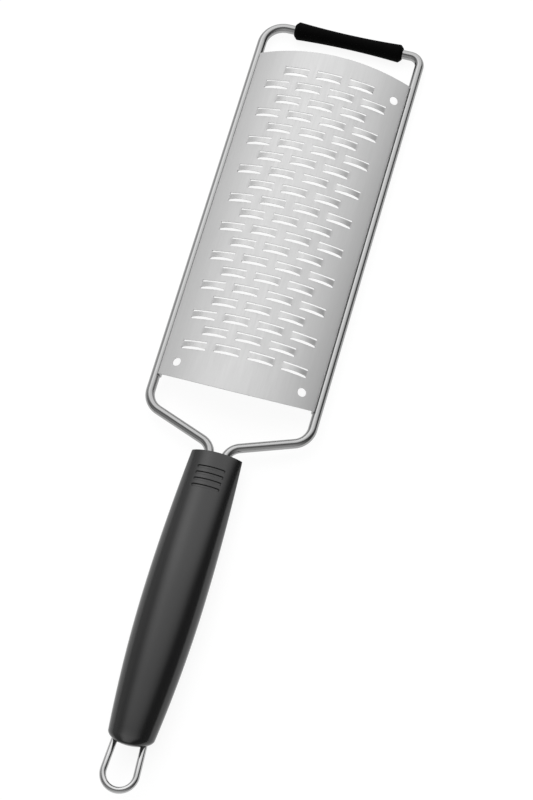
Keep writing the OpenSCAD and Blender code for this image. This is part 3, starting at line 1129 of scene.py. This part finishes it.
@dataclass
class HandleGrip:
    """The moulded grip: a lens at its rim, an ellipse from its belly on, with grooves and bores."""

    length: float = 119.5
    belly_s: float = 58.0
    widths: Point = (20.4, 24.3, 18.2)
    heights: Point = (8.4, 18.0, 15.0)
    fullness: Point = (1.2, 2.0, 2.0)
    rim_r: float = 0.3
    tail_len: float = 4.5
    tail_edge: float = 1.5
    tail_rake: float = 0.3
    rake_len: float = 20.0
    fit: float = 0.05
    core_half: Pair = (8.065, 3.2)
    core_span: Pair = (14.0, 113.5)
    groove_count: int = 4
    groove_s: float = 7.3
    groove_pitch: float = 2.75
    groove_len: float = 11.4
    groove_w: float = 1.3
    groove_depth: float = 0.5
    groove_edge: float = 0.2
    ring_points: int = 96
    rim_cells: int = 6
    front_cells: int = 5
    front_gap: float = 1.4
    body_cells: int = 44
    body_gap: float = 0.6
    tail_cells: int = 16
    tail_degs: Pair = (6.0, 86.0)
    groove_shares: tuple[float, ...] = (0.6, 0.1, -0.2, -0.4, -0.6, -0.8, -1.1)
    groove_end_cells: int = 10
    groove_end_gap: float = 0.2
    groove_end_edges: float = 1.5
    groove_floor_parts: float = 3.0
    angle_digits: int = 6
    core_cells: int = 24
    finish: MouldedSkin = MouldedSkin(
        "satin_black_grip",
        colour=(0.008, 0.008, 0.0082),
        roughness=(0.16, 0.24),
        specular=0.58,
        grain_scale=1500.0,
        grain_bump=(0.25, 0.02),
    )
    core_finish: MouldedSkin = MouldedSkin(
        "moulded_core",
        colour=(0.02, 0.02, 0.02),
        roughness=(0.5, 0.6),
        specular=0.4,
        grain_scale=900.0,
        grain_bump=(0.25, 0.02),
    )

    @property
    def tail_s(self) -> float:
        """Place where the tail starts to round."""
        return self.length - self.tail_len

    def swell(self, s: float, sizes: Point) -> float:
        """Full width, full height or fullness at a place behind the rim.

        Args:
            s: distance behind the rim.
            sizes: the size at the rim, the belly and the tail.

        Returns:
            The size on the parabola through them.
        """
        front, belly, tail = sizes
        if s < self.belly_s:
            return belly - (belly - front) * ((self.belly_s - s) / self.belly_s) ** 2
        return belly - (belly - tail) * ((s - self.belly_s) / (self.tail_s - self.belly_s)) ** 2

    def half(self, s: float, sizes: Point, round_len: float) -> float:
        """Half size at a place, with the rounded rim and tail.

        Args:
            s: distance behind the rim.
            sizes: the full size at the rim, the belly and the tail.
            round_len: length over which the tail closes.

        Returns:
            The half size.
        """
        short = max(self.rim_r - s, 0.0)
        edge = self.rim_r - math.sqrt(self.rim_r**2 - short**2)
        past = max((s - self.length + round_len) / round_len, 0.0)
        return (self.swell(min(s, self.tail_s), sizes) / 2 - edge) * math.sqrt(1 - past**2)

    def angles(self) -> list[float]:
        """Angles of a ring's points, closer together where the grooves end.

        Returns:
            The angles in order, in radians.
        """
        middle = self.groove_s + (self.groove_count - 1) * self.groove_pitch / 2
        a = self.half(middle, self.widths, self.tail_len)
        found = {round(t, self.angle_digits) for t in full_turn(self.ring_points)}
        inset = self.groove_end_edges * self.groove_edge
        start = self.groove_len / 2 - inset - self.groove_w / 2
        end = self.groove_len / 2 + self.groove_end_gap
        for x in spread(start, end, self.groove_end_cells):
            t = math.acos(x / a)
            found.update(round(angle, self.angle_digits) for angle in (t, math.pi - t))
        return sorted(found)

    def places(self) -> list[float]:
        """Places of the rings behind the rim, closer at the rim, the grooves and the tail.

        Returns:
            The sorted places.
        """
        quarter = [math.pi / 2 * i / self.rim_cells for i in range(self.rim_cells)]
        found = [self.rim_r * (1 - math.cos(t)) for t in quarter]
        half_w = self.groove_w / 2
        steps = [half_w + self.groove_edge * share for share in self.groove_shares]
        steps.append(half_w / self.groove_floor_parts)
        for i in range(self.groove_count):
            middle = self.groove_s + i * self.groove_pitch
            found += [middle + side * step for side in (-1, 1) for step in steps]
        last = self.groove_s + self.groove_count * self.groove_pitch
        found += spread(self.rim_r, self.groove_s - self.front_gap, self.front_cells)
        found += spread(last - self.body_gap, self.tail_s, self.body_cells)
        turns = [math.radians(a) for a in spread(*self.tail_degs, self.tail_cells)]
        found += [self.tail_s + self.tail_len * math.sin(t) for t in turns]
        return sorted(found)

    def groove(self, x: float, s: float) -> float:
        """Depth of the grooves at a place of the top.

        Args:
            x: place across the grip.
            s: distance behind the rim.

        Returns:
            The depth in mm.
        """
        over = max(abs(x) - (self.groove_len - self.groove_w) / 2, 0.0)
        depth = 0.0
        for i in range(self.groove_count):
            away = math.hypot(over, s - self.groove_s - i * self.groove_pitch)
            inside = (self.groove_w / 2 - away) / self.groove_edge
            depth = max(depth, self.groove_depth * smooth_step(inside))
        return depth

    def outer_ring(self, s: float, angles: list[float]) -> list[Point]:
        """Outer ring at a place, with the grooves pressed in.

        Args:
            s: distance behind the rim.
            angles: angles of the points.

        Returns:
            The points, counter-clockwise seen from the tail.
        """
        a = self.half(s, self.widths, self.tail_len)
        b = self.half(s, self.heights, self.tail_edge)
        rake = self.tail_rake * smooth_step((s - self.tail_s) / self.rake_len + 1)
        power = self.swell(min(s, self.tail_s), self.fullness)
        ring = []
        for t in angles:
            x = a * math.cos(t)
            z = b * math.copysign(abs(math.sin(t)) ** (2 / power), math.sin(t))
            depth = self.groove(x, s) if z > 0 else 0.0
            if depth:
                slope = Vector((2 * x / (a * a), power * (z / b) ** (power - 1) / b)).normalized()
                x, z = x - depth * slope.x, z - depth * slope.y
            ring.append((x, -s - rake * z, z))
        return ring

    def core_block(self) -> bpy.types.Object:
        """The core's outside with its fit, which the grip is moulded over.

        Returns:
            The block's object.
        """
        half_h = self.core_half[1] + self.fit
        flat = self.core_half[0] - self.core_half[1]
        section = [
            (side * (flat + half_h * math.sin(t)), side * half_h * math.cos(t))
            for side in (1, -1)
            for t in spread(0.0, math.pi, self.core_cells)
        ]
        draft = MeshDraft()
        spans = (self.core_span[1] + self.fit, self.core_span[0] - self.fit)
        rings = [draft.ring([(x, -s, z) for x, z in section]) for s in spans]
        draft.band(*rings)
        draft.close(rings)
        return draft.to_object("core_block")

    def bores(self) -> list[bpy.types.Object]:
        """The tangs and the loop's legs with their fit.

        Returns:
            The two rods' objects.
        """
        wire, loop = FrameWire(), HangingLoop()
        tangs = BentRod(wire.wire_d / 2 + self.fit, wire.stations())
        legs = BentRod(loop.wire_d / 2 + self.fit, loop.stations(), loop.sides)
        return [tangs.build("tang_bores"), legs.build("leg_bores")]

    def build(self) -> None:
        """Builds and dresses the grip, and dresses the core inside it."""
        draft = MeshDraft()
        angles = self.angles()
        rings = [draft.ring(self.outer_ring(s, angles)) for s in self.places()]
        for near, far in zip(rings, rings[1:]):
            draft.band(near, far)
        draft.close(rings)
        grip = draft.to_object("moulded_grip")
        carve(grip, [self.core_block(), *self.bores()])
        dress(grip, self.finish.material(), Node.GRIP, Slot.GRIP)
        set_material(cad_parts[Node.CORE.value], self.core_finish.material())
        LOG.info("%s keeps its CAD shape", Node.CORE.value)


@dataclass(frozen=True)
class SoftLamp:
    """One soft studio lamp, aimed at a place on the tool, which reflections leave out."""

    name: str
    place: Point
    aim: Point
    size: Pair
    power: float

    def build(self) -> None:
        """Hangs the lamp."""
        data = bpy.data.lights.new(self.name, "AREA")
        data.shape = "ELLIPSE"
        data.size, data.size_y = self.size
        data.energy = self.power
        lamp = bpy.data.objects.new(self.name, data)
        lamp.location = self.place
        lamp.visible_glossy = False
        lamp.rotation_mode = "QUATERNION"
        way = Vector(self.aim) - Vector(self.place)
        lamp.rotation_quaternion = way.to_track_quat("-Z", "Y")
        bpy.context.scene.collection.objects.link(lamp)


@dataclass(frozen=True)
class SkyGlow:
    """One soft glow of the sky: where it lies, how tight it is and how bright its middle is."""

    axis: Point
    tightness: float
    level: float

    def socket(self, canvas: NodeCanvas, direction: Socket) -> Socket:
        """Adds the glow to the sky's nodes.

        Args:
            canvas: the sky's canvas.
            direction: the socket of the ray's direction.

        Returns:
            The glow's level in that direction.
        """
        facing = canvas.facing(direction, Vector(self.axis).normalized())
        ahead = canvas.math("MAXIMUM", facing, 0.0)
        return canvas.math("MULTIPLY", canvas.math("POWER", ahead, self.tightness), self.level)


@dataclass
class Studio:
    """Plain pale floor, a dim sky with one bright patch and a few soft glows, and a fill lamp."""

    floor_size: float = 8.0
    floor_glow: float = 0.90
    floor_colour: float = 0.13
    bounce_colour: float = 0.8
    sky_level: float = 0.03
    backdrop_level: float = 1.0
    patch_axis: Point = (0.0, 0.735, 0.678)
    patch_edge: Pair = (0.56, 0.92)
    patch_level: float = 1.5
    glows: tuple[SkyGlow, ...] = (
        SkyGlow((-0.5, 0.35, 0.79), 20.0, 0.8),
        SkyGlow((-0.75, 0.6, 0.3), 12.0, 0.55),
        SkyGlow((-0.97, 0.1, 0.2), 10.0, 0.4),
        SkyGlow((0.97, 0.1, 0.2), 10.0, 0.1),
        SkyGlow((-0.7, -0.45, 0.55), 6.0, 0.2),
        SkyGlow((0.1, -0.92, 0.36), 3.0, 0.7),
    )
    fill: SoftLamp = SoftLamp("fill", (-0.3, 0.2, 1.5), (0.0, 0.0, 0.0), (1.6, 1.6), 8.0)

    def background_mask(self, canvas: NodeCanvas) -> Socket:
        """Rays that see the background: camera, glossy and transmission rays.

        Args:
            canvas: the material's canvas.

        Returns:
            1 for such a ray, or else 0.
        """
        path = canvas.add("ShaderNodeLightPath").outputs
        seen = canvas.math("MAXIMUM", path["Is Camera Ray"], path["Is Glossy Ray"])
        return canvas.math("MAXIMUM", seen, path["Is Transmission Ray"])

    def build_floor(self) -> None:
        """Lays the floor, which is white and keeps a soft shadow."""
        half = self.floor_size / 2
        corners = [(-half, -half, 0), (half, -half, 0), (half, half, 0), (-half, half, 0)]
        mesh = bpy.data.meshes.new("floor")
        mesh.from_pydata(corners, [], [(0, 1, 2, 3)])
        floor = bpy.data.objects.new("floor", mesh)
        bpy.context.scene.collection.objects.link(floor)
        material = bpy.data.materials.new("pale_floor")
        material.use_nodes = True
        material.node_tree.nodes.clear()
        canvas = NodeCanvas(material.node_tree)
        bounce, shade = (
            canvas.add("ShaderNodeBsdfDiffuse", {"Color": (level, level, level, 1.0)}).outputs[0]
            for level in (self.bounce_colour, self.floor_colour)
        )
        glow = canvas.add("ShaderNodeEmission", {"Strength": self.floor_glow}).outputs[0]
        pale = canvas.add("ShaderNodeAddShader", {0: shade, 1: glow}).outputs[0]
        inputs = {0: self.background_mask(canvas), 1: bounce, 2: pale}
        mixed = canvas.add("ShaderNodeMixShader", inputs).outputs[0]
        canvas.add("ShaderNodeOutputMaterial", {"Surface": mixed})
        set_material(floor, material)

    def build_sky(self) -> None:
        """Sets the sky: white to the camera, dim with a bright patch and glows for the rest."""
        world = bpy.data.worlds.new("studio_sky")
        bpy.context.scene.world = world
        world.use_nodes = True
        world.node_tree.nodes.clear()
        canvas = NodeCanvas(world.node_tree)
        direction = canvas.add("ShaderNodeTexCoord").outputs["Generated"]
        facing = canvas.facing(direction, self.patch_axis)
        patch = canvas.rise(facing, self.patch_edge, self.patch_level)
        level = canvas.math("ADD", patch, self.sky_level)
        for glow in self.glows:
            level = canvas.math("ADD", level, glow.socket(canvas, direction))
        white = (1.0, 1.0, 1.0, 1.0)
        light, backdrop = (
            canvas.add("ShaderNodeBackground", {"Color": white, "Strength": strength}).outputs[0]
            for strength in (level, self.backdrop_level)
        )
        camera_ray = canvas.add("ShaderNodeLightPath").outputs["Is Camera Ray"]
        inputs = {0: camera_ray, 1: light, 2: backdrop}
        mixed = canvas.add("ShaderNodeMixShader", inputs).outputs[0]
        canvas.add("ShaderNodeOutputWorld", {"Surface": mixed})

    def build(self) -> None:
        """Builds the floor, the sky and the lamp."""
        self.build_floor()
        self.build_sky()
        self.fill.build()
        bpy.context.scene.view_settings.view_transform = "Standard"


@dataclass(frozen=True)
class PhotoCamera:
    """Camera at the photograph's viewing angle, fitted to the tool in the tool frame."""

    focal_px: float = 2500.0
    frame_px: tuple[int, int] = (533, 800)
    sensor_mm: float = 36.0
    place: Point = (149.95, -312.57, 911.68)
    tilt_deg: float = -20.24
    turn_deg: float = -8.59
    roll_deg: float = -16.8

    def build(self) -> None:
        """Sets up the scene's camera."""
        data = bpy.data.cameras.new("photo_camera")
        data.sensor_width = self.sensor_mm
        data.lens = self.focal_px * self.sensor_mm / max(self.frame_px)
        camera = bpy.data.objects.new("photo_camera", data)
        bpy.context.scene.collection.objects.link(camera)
        roll, tilt, turn = (
            Matrix.Rotation(math.radians(angle), 3, axis)
            for angle, axis in ((self.roll_deg, "Z"), (self.tilt_deg, "X"), (self.turn_deg, "Y"))
        )
        view = (TOOL.rotation() @ (roll @ tilt @ turn).transposed()).to_4x4()
        camera.matrix_world = Matrix.Translation(TOOL.place(self.place)) @ view
        bpy.context.scene.camera = camera


def write_sizes() -> None:
    """Logs a line and writes no boxes."""
    LOG.info("boxes written")


def main() -> None:
    """Builds the camera, the studio and each piece in order."""
    logging.basicConfig(level=logging.INFO, format="%(name)s: %(message)s")
    PhotoCamera().build()
    Studio().build()
    for piece in (GraterPlate(), FrameWire(), FootSleeve(), HandleGrip(), HangingLoop()):
        piece.build()
    write_sizes()


if __name__ == "__main__":
    main()
